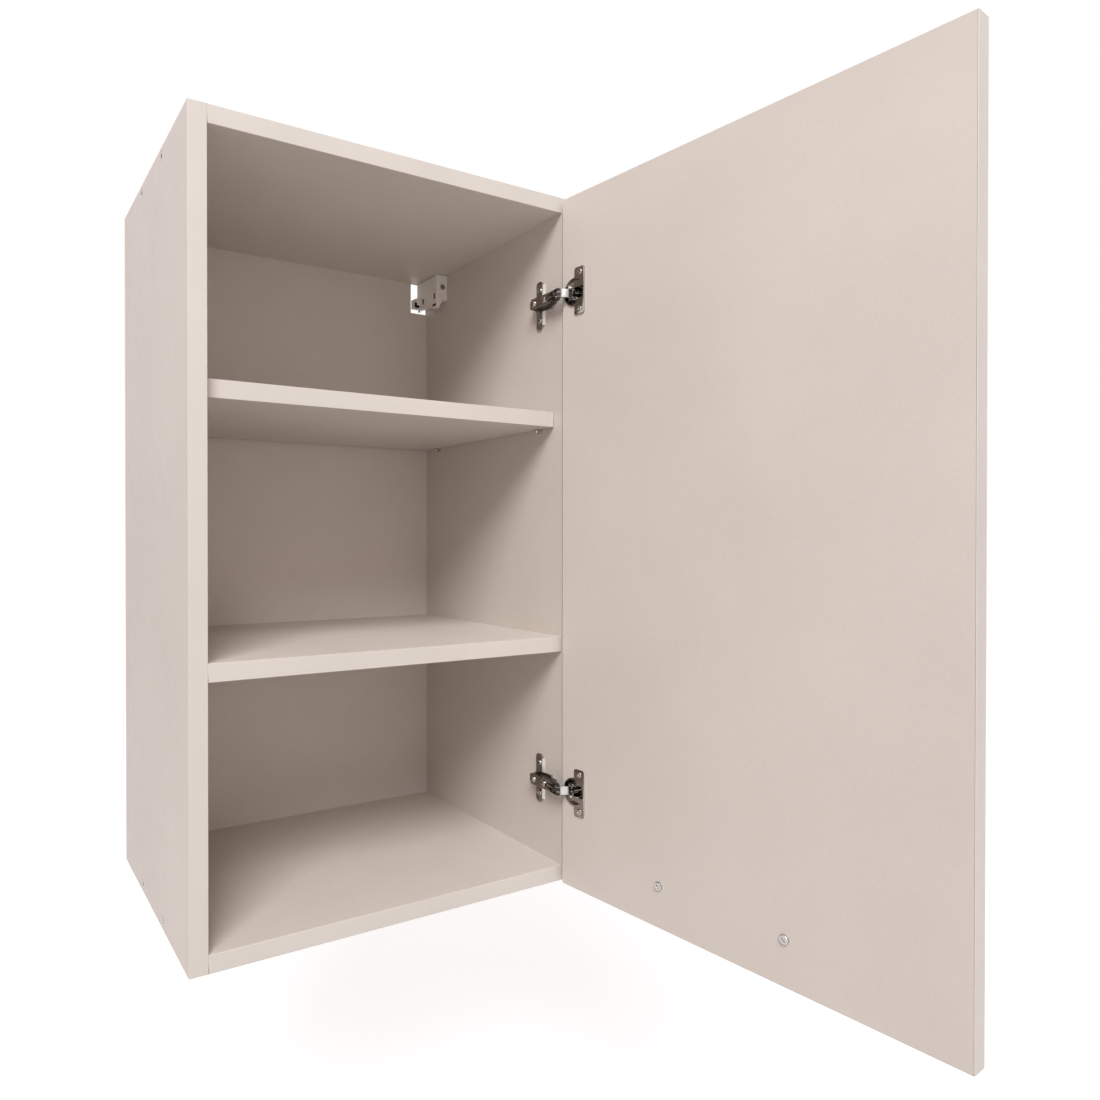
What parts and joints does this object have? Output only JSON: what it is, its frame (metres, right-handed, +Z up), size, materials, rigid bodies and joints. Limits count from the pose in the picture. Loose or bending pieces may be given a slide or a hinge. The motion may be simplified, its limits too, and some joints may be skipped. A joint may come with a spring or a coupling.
{
  "type": "kitchen wall cabinet",
  "caption": "Open-fronted kitchen wall cabinet of laminated board with shelves, a side-hung door on concealed hinges and hanging brackets in its upper rear corners.",
  "frame": {"origin": "centre of the rear face, against the wall", "axes": "+X to the right seen from the front, +Y into the wall, +Z up"},
  "size_m": [0.4577, 0.7075, 0.72],
  "materials": {
    "laminate": "satin white laminate on chipboard",
    "edging": "satin edging strip",
    "back_board": "white faced fibreboard",
    "beech": "plain beech",
    "zinc_steel": "zinc plated",
    "nickel": "nickel plated, satin",
    "dark_nickel": "dark nickel plated, satin",
    "bracket_plastic": "white nylon",
    "handle_metal": "brushed"
  },
  "bodies": {
    "cabinet": {"left_side": "laminate", "right_side": "laminate", "top_panel": "laminate", "bottom_panel": "laminate", "fixed_shelf": "laminate", "adjustable_shelf": "laminate", "back_panel": "back_board", "back_nails": "zinc_steel", "carcass_edge_bands": "edging", "carcass_screws": "zinc_steel", "shelf_dowels": "beech", "shelf_pins": "nickel", "left_hanger_housing": "bracket_plastic", "right_hanger_housing": "bracket_plastic", "left_hanger_hook": "zinc_steel", "right_hanger_hook": "zinc_steel", "hanger_screws": "zinc_steel", "upper_hinge_plate": "dark_nickel", "lower_hinge_plate": "dark_nickel", "upper_hinge_arm": "dark_nickel", "lower_hinge_arm": "dark_nickel", "hinge_plate_screws": "nickel", "hinge_clamp_screws": "nickel", "hinge_adjusting_screws": "nickel", "hinge_arm_pins": "nickel"},
    "outer_links": {"upper_outer_link": "nickel", "lower_outer_link": "nickel"},
    "inner_links": {"upper_inner_link": "nickel", "lower_inner_link": "nickel"},
    "door": {"door_panel": "laminate", "door_edge_bands": "edging", "upper_hinge_cup": "dark_nickel", "lower_hinge_cup": "dark_nickel", "hinge_cup_pins": "nickel", "hinge_cup_screws": "nickel", "door_handle": "handle_metal", "handle_screws": "zinc_steel"}
  },
  "joints": [
    {"name": "outer_link_swing", "type": "hinge", "parent": "cabinet", "child": "outer_links", "pos_m": [0.17201, -0.30955, 0], "axis": [0, 0, 1], "range_deg": [-2.66, 27.89]},
    {"name": "door_swing", "type": "hinge", "parent": "outer_links", "child": "door", "pos_m": [0.18682, -0.31528, 0], "axis": [0, 0, 1], "range_deg": [-123.84, 11.61]},
    {"name": "inner_link_swing", "type": "hinge", "parent": "cabinet", "child": "inner_links", "pos_m": [0.16947, -0.30481, 0], "axis": [0, 0, 1], "range_deg": [-2.24, 23.45]}
  ],
  "couplings": [
    {"joint": "outer_link_swing", "follows": "door_swing", "ratio": -0.22482},
    {"joint": "inner_link_swing", "follows": "door_swing", "ratio": -0.18892}
  ]
}
